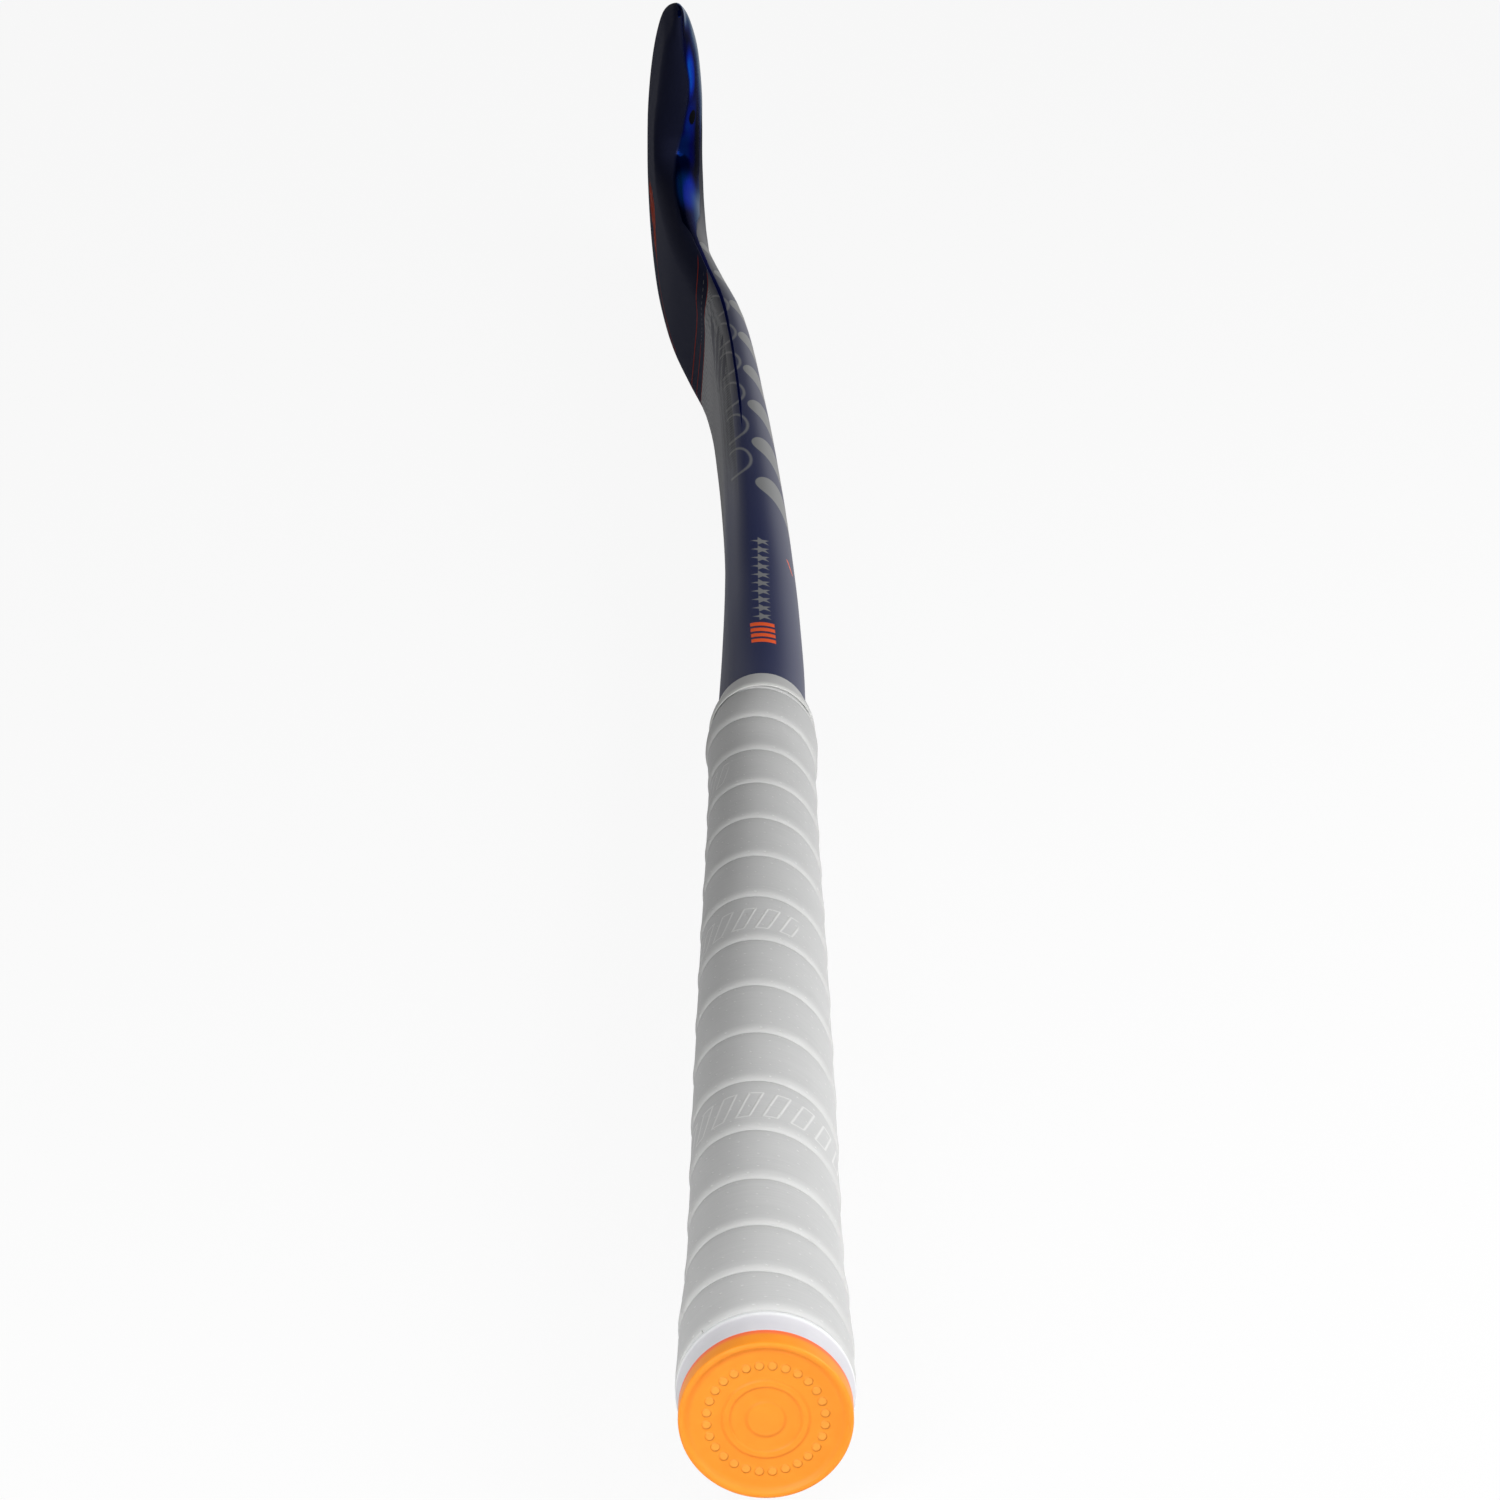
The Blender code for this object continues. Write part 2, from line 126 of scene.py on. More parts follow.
CAP_RADIUS = 18.3
CAP_FRONT = -5.2
CAP_FACE = -4.1
CAP_RELIEF = 0.4            # how far disc and ring stand off the cap's face
CAP_BACK = 0.8
RECESS_RADIUS = 16.1
PIP_RING = 12.4
PIPS = 28
STEM_RADIUS = 6.0
STEM_LENGTH = 34.0
STEM_BARBS = 4
STEM_BARB_HEIGHT = 0.9
COLLAR_FRONT = 1.1
COLLAR_BEAD = 7.2
COLLAR_END = 8.8
COLLAR_RADIUS = 19.1
COLLAR_BORE = 16.7
TURNED_SEGMENTS = 128
BAND_START = 386.5
BAND_END = 400.0

SECTION_ROWS = [[*heel, *toe, *rest] for heel, toe, *rest in SECTIONS]


def place(along, face, toe):
    """A point of the stick as a point of the scene, in metres."""
    return Vector((AXIS_X - face, BUTT_Y + along, AXIS_Z + toe)) * MM


def smooth_curve(points):
    """A function that reads the smooth curve through (x, value) points."""
    knots = np.array([x for x, _ in points], dtype=float)
    values = np.array([value for _, value in points], dtype=float)
    step = np.diff(knots)
    rise = (np.diff(values, axis=0).T / step).T
    slope = np.empty_like(values)
    slope[0], slope[-1] = rise[0], rise[-1]
    for i in range(1, len(knots) - 1):
        before, after = rise[i - 1], rise[i]
        mean = (before * step[i] + after * step[i - 1]) / (step[i - 1] + step[i])
        steepest = 2.5 * np.minimum(abs(before), abs(after))
        slope[i] = np.where(before * after > 0, np.clip(mean, -steepest, steepest), 0)

    def read(x):
        i = min(max(int(np.searchsorted(knots, x, side="right")) - 1, 0), len(knots) - 2)
        t = (x - knots[i]) / step[i]
        start = values[i] * (1 + 2 * t) * (1 - t) ** 2 + slope[i] * step[i] * t * (1 - t) ** 2
        end = values[i + 1] * t * t * (3 - 2 * t) - slope[i + 1] * step[i] * t * t * (1 - t)
        return start + end
    return read


section_at = smooth_curve(list(enumerate(SECTION_ROWS)))
face_line = smooth_curve(FACE_LINE)
handle_radius = smooth_curve([(row[0], row[3]) for row in SECTION_ROWS[:HANDLE_END + 1]])
grip_build = smooth_curve(GRIP_BUILD)


def section_outline(half_width, thickness, edge_depth, edge_width, fullness):
    """Points of a section as (across, depth behind the face), from the toe side over the face."""
    points = []
    flat = half_width - edge_width
    for i in range(EDGE_STEPS):
        turn = math.pi / 2 * i / EDGE_STEPS
        points.append((flat + edge_width * math.cos(turn), edge_depth * (1 - math.sin(turn))))
    for i in range(FACE_STEPS + 1):
        points.append((flat * (1 - 2 * i / FACE_STEPS), 0.0))
    for i in range(1, EDGE_STEPS + 1):
        turn = math.pi / 2 * (1 - i / EDGE_STEPS)
        points.append((-flat - edge_width * math.cos(turn), edge_depth * (1 - math.sin(turn))))
    for i in range(1, BACK_STEPS):
        turn = math.pi * (1 + i / BACK_STEPS)
        across = abs(math.cos(turn)) ** (2 / fullness)
        depth = abs(math.sin(turn)) ** (2 / fullness)
        points.append((math.copysign(half_width * across, math.cos(turn)),
                       edge_depth + (thickness - edge_depth) * depth))
    return points


def section_ring(station, inset=0.0):
    """One ring round the shell at a station, drawn in from its outside by the inset."""
    heel_y, heel_z, toe_y, toe_z, thickness, depth, width, fullness, back = section_at(station)
    heel = np.array((heel_y, heel_z))
    toe = np.array((toe_y, toe_z))
    half_width = np.linalg.norm(toe - heel) / 2
    across = (toe - heel) / (2 * half_width)
    middle = (toe + heel) / 2
    outline = section_outline(half_width - inset, thickness - 2 * inset, depth - inset,
                              width - inset, fullness)
    ring = []
    for u, behind in outline:
        along, towards_toe = middle + u * across
        front = thickness / 2
        if station > HANDLE_END:
            front = face_line(along)
        ring.append(place(along, front - back - inset - behind, towards_toe))
    return ring


def ring_edges(loop):
    """The edges that join a loop's vertices one after another."""
    inside = set(loop)
    return [edge for vertex in loop for edge in vertex.link_edges
            if edge.verts[0] in inside and edge.verts[1] in inside]


def loft(rings):
    """A closed skin over a row of rings, and where each of its vertices stands in them."""
    body = bmesh.new()
    loops = []
    for ring in rings:
        circle = bmesh.ops.create_circle(body, segments=len(ring), radius=1.0)["verts"]
        for vertex, point in zip(circle, ring):
            vertex.co = point
        loops.append(circle)
    edges = [list(dict.fromkeys(ring_edges(loop))) for loop in loops]
    for lower, upper in zip(edges, edges[1:]):
        bmesh.ops.bridge_loops(body, edges=lower + upper)
    bmesh.ops.holes_fill(body, edges=edges[0] + edges[-1], sides=0)
    bmesh.ops.recalc_face_normals(body, faces=body.faces)
    where = {vertex: (row, column) for row, loop in enumerate(loops)
             for column, vertex in enumerate(loop)}
    return body, where


def finish_piece(name, body, finish, node, flat_angle=50):
    """Turn a bmesh into a named piece with its finish, hung on the root body, and hide the node's
    own part.
    """
    mesh = bpy.data.meshes.new(name)
    body.to_mesh(mesh)
    body.free()
    mesh.shade_smooth()
    mesh.set_sharp_from_angle(angle=math.radians(flat_angle))
    mesh.materials.append(finish)
    piece = bpy.data.objects.new(name, mesh)
    bpy.context.scene.collection.objects.link(piece)
    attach(piece, "root")
    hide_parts(node)


class Amount:
    """A number inside a finish, written with plain arithmetic and made of nodes."""

    def __init__(self, finish, socket):
        self.finish = finish
        self.socket = socket

    def __add__(self, other):
        return self.finish.math("ADD", self, other)

    def __sub__(self, other):
        return self.finish.math("SUBTRACT", self, other)

    def __rsub__(self, other):
        return self.finish.math("SUBTRACT", other, self)

    def __mul__(self, other):
        return self.finish.math("MULTIPLY", self, other)

    def __truediv__(self, other):
        return self.finish.math("DIVIDE", self, other)

    def __neg__(self):
        return self.finish.math("MULTIPLY", self, -1.0)


class Finish:
    """A material while it is being wired."""

    def __init__(self, name, **shader):
        self.material = bpy.data.materials.new(name)
        self.material.use_nodes = True
        self.nodes = self.material.node_tree.nodes
        self.links = self.material.node_tree.links
        self.shader = self.nodes["Principled BSDF"]
        for socket, value in shader.items():
            self.shader.inputs[socket.replace("_", " ")].default_value = value

    @classmethod
    def of_tree(cls, tree):
        """The same helper for a node tree that is not a piece's finish."""
        made = cls.__new__(cls)
        made.nodes = tree.nodes
        made.links = tree.links
        return made

    def feed(self, socket, value):
        """Give a socket a plain value or link it to an amount."""
        if isinstance(value, Amount):
            self.links.new(value.socket, socket)
        elif isinstance(value, bpy.types.NodeSocket):
            self.links.new(value, socket)
        else:
            socket.default_value = value

    def node(self, kind, inputs, **settings):
        """Add a node with its settings and its inputs, by name or by place."""
        made = self.nodes.new("ShaderNode" + kind)
        for setting, value in settings.items():
            setattr(made, setting, value)
        for key, value in inputs.items():
            self.feed(made.inputs[key], value)
        return made

    def math(self, operation, *values):
        """One step of arithmetic."""
        made = self.node("Math", dict(enumerate(values)), operation=operation)
        return Amount(self, made.outputs[0])

    def step(self, value, low, high):
        """0 below low, 1 above high, smooth between; high may lie below low."""
        inputs = {"Value": value, "From Min": low, "From Max": high}
        made = self.node("MapRange", inputs, interpolation_type="SMOOTHSTEP")
        return Amount(self, made.outputs[0])

    def band(self, value, low, high, soft):
        """1 between low and high, 0 outside them."""
        return self.step(value, low - soft, low + soft) * self.step(value, high + soft, high - soft)

    def near(self, value, width, soft):
        """1 where the value lies within half a width of 0."""
        return self.step(self.math("ABSOLUTE", value), width / 2 + soft, width / 2 - soft)

    def most(self, *values):
        """The largest of several amounts."""
        best = values[0]
        for value in values[1:]:
            best = self.math("MAXIMUM", best, value)
        return best

    def mix(self, share, first, second):
        """A colour between two, by a share from 0 to 1."""
        made = self.node("Mix", {}, data_type="RGBA", clamp_factor=True)
        self.feed(made.inputs["Factor"], share)
        for socket, value in ((made.inputs[6], first), (made.inputs[7], second)):
            self.feed(socket, (*value, 1.0) if isinstance(value, tuple) else value)
        return made.outputs[2]

    def blend(self, share, first, second):
        """A number between two, by a share from 0 to 1."""
        return share * (second - first) + first

    def surface(self):
        """Along the stick and round it, in millimetres, from the piece's own map."""
        made = self.node("UVMap", {}, uv_map="surface")
        parts = self.node("SeparateXYZ", {0: made.outputs[0]})
        return [Amount(self, parts.outputs[i]) * 1000.0 for i in (0, 1)]

    def steps_round(self):
        """How many of its outline's steps a point lies round from the toe-side edge."""
        made = self.node("UVMap", {}, uv_map="steps_round")
        parts = self.node("SeparateXYZ", {0: made.outputs[0]})
        return Amount(self, parts.outputs[1])

    def place(self):
        """The stick's own directions at a point, in millimetres: along, face and toe."""
        made = self.node("TexCoord", {})
        parts = self.node("SeparateXYZ", {0: made.outputs["Object"]})
        x, y, z = (Amount(self, parts.outputs[i]) * 1000.0 for i in range(3))
        return y - BUTT_Y, AXIS_X - x, z - AXIS_Z

    def vector(self, x, y, z=0.0):
        """A vector from three amounts."""
        return self.node("CombineXYZ", {0: x, 1: y, 2: z}).outputs[0]

    def noise(self, vector, scale, detail=2.0, roughness=0.5):
        """Soft random variation from 0 to 1."""
        inputs = {"Vector": vector, "Scale": scale, "Detail": detail, "Roughness": roughness}
        return Amount(self, self.node("TexNoise", inputs).outputs["Fac"])

    def colour(self, socket):
        self.feed(self.shader.inputs["Base Color"], socket)

    def roughness(self, value):
        self.feed(self.shader.inputs["Roughness"], value)

    def bump(self, height, depth_mm):
        """Relief of a height from 0 to 1, standing as many millimetres deep."""
        inputs = {"Height": height, "Distance": depth_mm * MM, "Strength": 1.0}
        made = self.node("Bump", inputs)
        self.links.new(made.outputs[0], self.shader.inputs["Normal"])


# Colours as seen in plain light
FACE_BLACK = (0.0135, 0.0155, 0.036)
NAVY = (0.006, 0.013, 0.074)
SLATE = (0.022, 0.025, 0.042)
PANEL_GREY = (0.19, 0.19, 0.205)
STRIP_AND_SHEEN_GREY = (0.105, 0.11, 0.13)
THREAD_DARK = (0.045, 0.048, 0.06)
EDGE_SHADE_BROWN = (0.05, 0.048, 0.055)
DEEP_BLUE = (0.0, 0.003, 0.036)
MID_BLUE = (0.0, 0.010, 0.08)
HIGHLIGHT_BLUE = (0.0, 0.17, 0.62)
PRINT_AND_HIGHLIGHT_GREY = (0.24, 0.245, 0.245)
LINE_RED = (0.36, 0.035, 0.015)
BRUSH_RED = (0.5, 0.05, 0.015)
PRINT_ORANGE = (0.97, 0.105, 0.008)
FACE_SPECKLE = (0.026, 0.030, 0.056)
PANEL_LIGHT = (0.38, 0.385, 0.41)
LINE_BLUE = (0.0, 0.016, 0.15)
PALE_BLUE_PATCH = (0.0, 0.05, 0.2)
DARK_SPOT = (0.002, 0.002, 0.006)
CAP_ORANGE = (0.94, 0.28, 0.014)
CAP_ORANGE_LIGHT = (0.98, 0.325, 0.02)
PIP_HIGHLIGHT_ORANGE = (1.0, 0.38, 0.05)
FOOT_SHADE_ORANGE = (0.9, 0.23, 0.012)
GROOVE_SHADE_ORANGE = (0.98, 0.27, 0.02)
EDGE_ORANGE = (1.0, 0.17, 0.05)
GRIP_GREY = (0.52, 0.525, 0.525)
GRIP_GREY_LIGHT = (0.66, 0.66, 0.655)
LAP_HIGHLIGHT = (0.76, 0.765, 0.74)
PRESSED_WHITE = (0.84, 0.84, 0.83)
COLLAR_LILAC = (0.62, 0.61, 0.65)
COLLAR_LILAC_LIGHT = (0.68, 0.675, 0.7)
BEAD_HIGHLIGHT = (0.88, 0.89, 0.9)
BAND_GREY = (0.53, 0.535, 0.53)
BAND_GREY_LIGHT = (0.62, 0.62, 0.615)
BAND_LIP_HIGHLIGHT = (0.74, 0.745, 0.72)

# Edges of the blue lacquer on the toe side: (along the middle, round the edge)
BLUE_LEFT = (
    (597, -0.7), (620, -0.8), (648, -0.9), (692, -1.1), (737, -0.6), (759, 0.1), (778, 0.6),
    (800, 0.7), (806, 0.2), (817, -1.0), (844, -0.8), (880, 0.3), (908, 1.7), (925, 3.9),
    (951, 4.8), (969, 4.4), (986, 2.8), (1030, 0.0),
)
BLUE_RIGHT = (
    (597, -0.5), (620, 0.0), (648, -0.1), (692, -0.3), (737, 0.7), (759, 1.3), (778, 2.1),
    (800, 2.8), (806, 3.4), (822, 5.7), (844, 10.1), (878, 14.0), (897, 14.8), (913, 17.9),
    (924, 19.5), (943, 22.0), (970, 25.0), (1030, 26.0),
)
# Dark strokes on the woven panel: both ends and width
SLASHES = (
    ((716.0, -5.2), (682.0, -10.2), 1.5), ((708.0, -5.4), (656.0, -13.4), 2.0),
    ((699.0, -4.0), (646.0, -11.6), 2.0), ((690.0, -2.8), (642.0, -9.2), 1.8),
    ((676.0, -2.6), (640.0, -6.4), 1.4),
)
BRUSHED_LINE = (
    (740, -41.0), (796, -42.4), (812, -41.0), (837, -39.7), (853, -37.6), (871, -33.7),
    (880, -30.0), (890, -29.5), (900, -34.5), (908, -42.0),
)
BRUSH_WIDTH = ((740, 1.0), (866, 1.6), (874, 6.0), (884, 12.0), (900, 14.0), (908, 7.0))
# Painted highlights in the blue lacquer, and a dark spot with a paler patch round it: middle,
# half length, half width and slant, colour, softness, share
PAINTED_BLUE_PATCHES = (
    ((974.0, 6.2), (17.0, 2.4, -0.03), HIGHLIGHT_BLUE, 0.5, 0.9),
    ((938.0, 8.6), (15.0, 4.0, 0.0), PALE_BLUE_PATCH, 0.6, 0.8),
    ((936.5, 8.7), (6.0, 2.0, 0.0), DARK_SPOT, 0.15, 0.95),
    ((863.0, 4.6), (24.0, 5.2, 0.05), HIGHLIGHT_BLUE, 0.5, 0.95),
)


def follow(skin, value, knots):
    """An amount that follows straight runs between knots."""
    made = knots[0][1]
    for (x0, y0), (x1, y1) in zip(knots, knots[1:]):
        inputs = {"Value": value, "From Min": x0, "From Max": x1, "To Min": 0.0, "To Max": y1 - y0}
        made = Amount(skin, skin.node("MapRange", inputs, clamp=True).outputs[0]) + made
    return made


def dash(skin, u, v, start, end, width):
    """1 inside a stroke that tapers to both ends."""
    run, rise = end[0] - start[0], end[1] - start[1]
    length = math.hypot(run, rise)
    share = ((u - start[0]) * run + (v - start[1]) * rise) / length ** 2
    across = skin.math("ABSOLUTE", ((u - start[0]) * rise - (v - start[1]) * run) / length)
    return skin.step(across - share * (1.0 - share) * 2.0 * width, 0.2, -0.2)


def bars(skin, u, v, start, pitch, count, lean, radius, reach):
    """1 inside a row of leaning bars with round ends."""
    cos, sin = math.cos(lean), math.sin(lean)
    from_start = u - start[0]
    rise = v - start[1]
    number = skin.math("ROUND", (from_start * cos + rise * sin) / (pitch * cos))
    number = skin.math("MINIMUM", skin.math("MAXIMUM", number, 0.0), count - 1.0)
    from_bar = from_start - number * pitch
    across = from_bar * cos + rise * sin
    length = rise * cos - from_bar * sin
    beyond = skin.math("MAXIMUM", skin.math("MAXIMUM", -length, length - reach), 0.0)
    away = skin.math("SQRT", across * across + beyond * beyond)
    return skin.step(away, radius + 0.2, radius - 0.2)


def stars(skin, u, v):
    """1 inside a row of ten small five-pointed stars."""
    pitch = 6.35
    tip, notch = 3.05, 1.25
    from_row = (u - 441.9) / pitch
    across = v - (u - 442.0) * 0.022 - 1.0
    along = (skin.math("FRACT", from_row) - 0.5) * pitch
    angle = skin.math("ARCTAN2", along, -across) + math.pi / 5
    fold = skin.math("ABSOLUTE", skin.math("FLOORED_MODULO", angle, FULL_TURN / 5) - math.pi / 5)
    reach = skin.math("SQRT", along * along + across * across)
    x = reach * skin.math("COSINE", fold)
    y = reach * skin.math("SINE", fold)
    notch_x, notch_y = notch * math.cos(math.pi / 5), notch * math.sin(math.pi / 5)
    side = ((x - tip) * notch_y + y * (tip - notch_x)) / math.hypot(notch_y, tip - notch_x)
    return skin.step(side, 0.12, -0.12) * skin.band(from_row, 0.0, 10.0, 0.01)


def printed_back(skin, u, v):
    """Navy back and toe-side edge with leaning bars, a row of stars and orange marks."""
    base = skin.mix(skin.step(u, 690.0, 800.0), NAVY, SLATE)
    base = skin.mix(skin.step(v, 10.0, 30.0) * 0.5, base, SLATE)
    big_bars = bars(skin, u, v, (549.0, 10.5), 34.2, 8, math.radians(36), 8.6, 30.0)
    base = skin.mix(big_bars * 0.92, base, PRINT_AND_HIGHLIGHT_GREY)
    base = skin.mix(stars(skin, u, v) * 0.85, base, PRINT_AND_HIGHLIGHT_GREY)
    stripe = (u - 425.5) / 4.1
    mark = skin.band(stripe, 0.0, 4.0, 0.02)
    mark = mark * skin.band(skin.math("FRACT", stripe), 0.04, 0.66, 0.05)
    base = skin.mix(mark * skin.band(v, -2.8, 4.2, 0.12), base, PRINT_ORANGE)
    tick = bars(skin, u, v, (500.0, 11.8), 50.0, 1, math.radians(66), 0.45, 6.2)
    return skin.mix(tick, base, PRINT_ORANGE)


def woven_panel(skin, u, v, grain, base):
    """The woven panel laid over the base, with painted sheen toward the face-side edge before it
    begins, painted shade along the rounded toe-side edge and a painted highlight on the crease, and
    where the panel's sharp part shows.
    """
    crease = skin.steps_round() - CREASE_STEP
    sharp = skin.step(u, 520.0, 600.0)
    past_crease = skin.step(crease, -0.15, 0.15)
    # Before the panel's sharp start, panel_side is a painted sheen: a little grey toward the
    # face-side edge
    panel_side = skin.blend(sharp, skin.step(v, -6.5, -13.0) * 0.35, past_crease)
    # Painted shade, brown, on the rounded toe-side edge beside the panel
    shade = skin.step(v, 0.2, -0.5) * skin.step(u, 590.0, 650.0) * skin.step(u, 770.0, 740.0)
    base = skin.mix(shade * 0.8, base, EDGE_SHADE_BROWN)
    threads_u = skin.math("SINE", u * (FULL_TURN / 2.3))
    wander = skin.noise(skin.vector(u, v), 0.12) * 3.0
    threads_v = skin.math("SINE", (v + wander) * (FULL_TURN / 1.8))
    weave = (threads_u + threads_v) * 0.3 + 0.5
    panel = skin.mix(skin.step(u, 560.0, 680.0), STRIP_AND_SHEEN_GREY, PANEL_GREY)
    panel = skin.mix(skin.step(u, 672.0, 712.0) * 0.7, panel, PANEL_LIGHT)
    panel = skin.mix(weave * 0.75 + (grain - 0.5) * 0.5, panel, THREAD_DARK)
    for start, end, width in SLASHES:
        panel = skin.mix(dash(skin, u, v, start, end, width) * 0.85, panel, FACE_BLACK)
    base = skin.mix(panel_side, base, panel)
    # Painted highlight: a pale line along the crease
    crease_highlight = skin.near(crease, 0.25, 0.3) * skin.step(u, 755.0, 740.0) * sharp
    base = skin.mix(crease_highlight * skin.step(v, 0.0, -0.5) * 0.35, base, PRINT_AND_HIGHLIGHT_GREY)
    arc_pitch = 30.0
    arc_u = (skin.math("FRACT", (u - 523.0) / arc_pitch) - 0.5) * arc_pitch / 11.0
    arc_v = (v + 4.4) / 5.6
    arc = skin.near(skin.math("SQRT", arc_u * arc_u + arc_v * arc_v) - 1.0, 0.16, 0.06)
    arc = arc * skin.band(u, 554.0, 732.0, 1.0) * skin.step(v, -6.4, -5.4)
    return skin.mix(arc * 0.7, base, PRINT_AND_HIGHLIGHT_GREY), panel_side * sharp


def playing_face(skin, u, v, grain, left, base):
    """The dark face laid over the base, with thin lines along its rounded end."""
    behind = -v
    end_line = skin.math("EXPONENT", behind / -4.2) * 40.0 + 719.0
    past_end = u - end_line - skin.math("MAXIMUM", behind - 14.0, 0.0) * 0.5
    on_face = skin.step(v - left, 0.3, -0.3) * skin.step(past_end, -0.4, 0.4)
    speckle = skin.step(grain, 0.55, 0.75)
    base = skin.mix(on_face, base, skin.mix(speckle * 0.5, FACE_BLACK, FACE_SPECKLE))
    outer = skin.near(past_end - 20.5, 1.2, 0.25)
    inner = skin.near(past_end - 0.6, 1.1, 0.3) * 0.85
    third = skin.near(past_end - 10.0, 1.0, 0.25) * skin.step(behind, 20.0, 24.0) * 0.8
    red = skin.most(outer, inner, third) * skin.step(behind, 0.4, 1.2)
    base = skin.mix(red, base, LINE_RED)
    dots = skin.step(skin.math("SINE", behind * (FULL_TURN / 1.5)), -0.1, 0.3)
    dotted = skin.near(past_end - 9.0, 0.9, 0.25) * dots * skin.step(behind, 23.0, 20.0)
    base = skin.mix(dotted * skin.step(behind, 1.5, 2.5) * 0.7, base, PRINT_AND_HIGHLIGHT_GREY)
    streaky = skin.noise(skin.vector(u * 0.12, v * 0.9), 1.0, 3.0)
    from_line = skin.math("ABSOLUTE", v - follow(skin, u, BRUSHED_LINE))
    broad = follow(skin, u, BRUSH_WIDTH)
    brushed = skin.step(from_line + (streaky - 0.5) * broad * 1.5 - broad * 0.5, 0.5, -0.5)
    brushed = brushed * skin.step(streaky, 0.68, 0.6) * skin.band(u, 790.0, 908.0, 2.0)
    strength = skin.blend(skin.step(u, 860.0, 880.0), 0.22, 0.9)
    return skin.mix(brushed * strength, base, BRUSH_RED), on_face


def blue_lacquer(skin, u, v, grain, left, right):
    """Blue for the hook, clouded at random, with painted highlights, a dark spot and painted shade
    along its edges, drawn out into a thin line along the shaft, and its area.
    """
    softness = skin.step(u, 800.0, 830.0) * 0.7 + 0.15
    area = skin.step((v - left) / softness, -1.0, 1.0)
    area = area * skin.step((right - v) / softness, -1.0, 1.0) * skin.step(u, 594.0, 600.0)
    fade = skin.noise(skin.vector(u, v), 0.08, 2.0)
    candy = skin.mix(fade, DEEP_BLUE, MID_BLUE)
    # Painted highlights in two brighter patches, and a dark spot with a paler patch round it
    for middle, reach, shade, soft, share in PAINTED_BLUE_PATCHES:
        along = (u - middle[0]) / reach[0]
        across = (v - middle[1] - (u - middle[0]) * reach[2]) / reach[1]
        away = skin.math("SQRT", along * along + across * across)
        patch = skin.step(away + (grain - 0.5) * soft, 1.0 + soft, 1.0 - soft)
        candy = skin.mix(patch * share, candy, shade)
    # Painted shade along both edges of the blue, and over its far side on the toe
    rim = skin.most(skin.step(v - left, 1.6, 0.0), skin.step(right - v, 6.0, 0.5) * 0.85)
    candy = skin.mix(rim * skin.step(u, 790.0, 830.0), candy, DEEP_BLUE)
    candy = skin.mix(skin.step(v, 9.5, 13.0) * skin.step(u, 880.0, 900.0), candy, DEEP_BLUE)
    return skin.mix(skin.step(u, 800.0, 760.0), candy, LINE_BLUE), area


def shell_laminate():
    """Printed laminate: satin lacquer on the shaft, a matte black face, blue metallic hook."""
    skin = Finish("shell_laminate", Specular_IOR_Level=0.0055, Coat_Roughness=0.36,
                  Specular_Tint=(0.0, 0.12, 0.3, 1.0))
    u, v = skin.surface()
    grain = skin.noise(skin.vector(u, v), 2.4, 4.0, 0.65)
    left = follow(skin, u, BLUE_LEFT)
    right = follow(skin, u, BLUE_RIGHT)
    base = printed_back(skin, u, v)
    base, on_panel = woven_panel(skin, u, v, grain, base)
    base, on_face = playing_face(skin, u, v, grain, left, base)
    candy, blue = blue_lacquer(skin, u, v, grain, left, right)
    skin.colour(skin.mix(blue, base, candy))
    skin.feed(skin.shader.inputs["Metallic"], blue * 0.85)
    lacquer = skin.blend(skin.step(v, -1.0, -10.0), 0.66, 0.26)
    lacquer = lacquer * skin.step(u, 950.0, 760.0)
    gloss = skin.blend(on_face, skin.blend(on_panel, lacquer, 0.2), 0.0)
    skin.feed(skin.shader.inputs["Coat Weight"], skin.blend(blue, gloss, 0.025))
    skin.roughness(skin.blend(blue, (grain - 0.5) * 0.15 + 0.65, 0.2))
    skin.bump(grain * (1.0 - blue * 0.8) * skin.blend(on_face, 0.4, 1.0), 0.03)
    return skin.material


def make_shell():
    """The moulded shaft and head as one hollow skin with its own map."""
    stations = np.arange(0, len(SECTIONS) - 1 + 1e-6, 1 / RINGS_PER_SECTION)
    hollow_stations = np.arange(0, HOLLOW_END, 0.5)
    outside = [section_ring(station) for station in stations]
    hollow = [section_ring(station, WALL) for station in hollow_stations]
    body, where = loft(outside[::-1] + hollow)
    middles = [(ring[0] + ring[HEEL_POINT]) / 2 for ring in outside]
    lengths = np.cumsum([0.0] + [(b - a).length for a, b in zip(middles, middles[1:])])
    lengths = (lengths + SHELL_START * MM)[::-1]
    last_outside = len(outside) - 1
    surface = body.loops.layers.uv.new("surface")
    steps_round = body.loops.layers.uv.new("steps_round")
    rounds = []
    for ring in outside[::-1]:
        steps = [(b - a).length for a, b in zip(ring, ring[1:] + ring[:1])]
        rounds.append(np.cumsum([0.0] + steps))
    count = len(outside[0])
    for face in body.faces:
        columns = [where[vertex][1] for vertex in face.verts]
        on_back = max(columns) > HEEL_POINT
        wraps = on_back and min(columns) == 0
        for corner in face.loops:
            row, column = where[corner.vert]
            row = min(row, last_outside)
            if wraps and column == 0:
                column = count
            way_round = rounds[row][column]
            signed = rounds[row][-1] - way_round if on_back else -way_round
            corner[surface].uv = (lengths[row], signed)
            corner[steps_round].uv = (lengths[row], -column if on_back else column)
    finish_piece("shaft_and_head", body, shell_laminate(), "shaft_and_head_shell")


def grip_edge(turns):
    """Where a turn's butt-side edge lies, the turns counted from the toe side."""
    gathered = GRIP_GATHER * math.sin(FULL_TURN * turns / GRIP_TURNS)
    return GRIP_FIRST_EDGE + GRIP_PITCH * turns - gathered


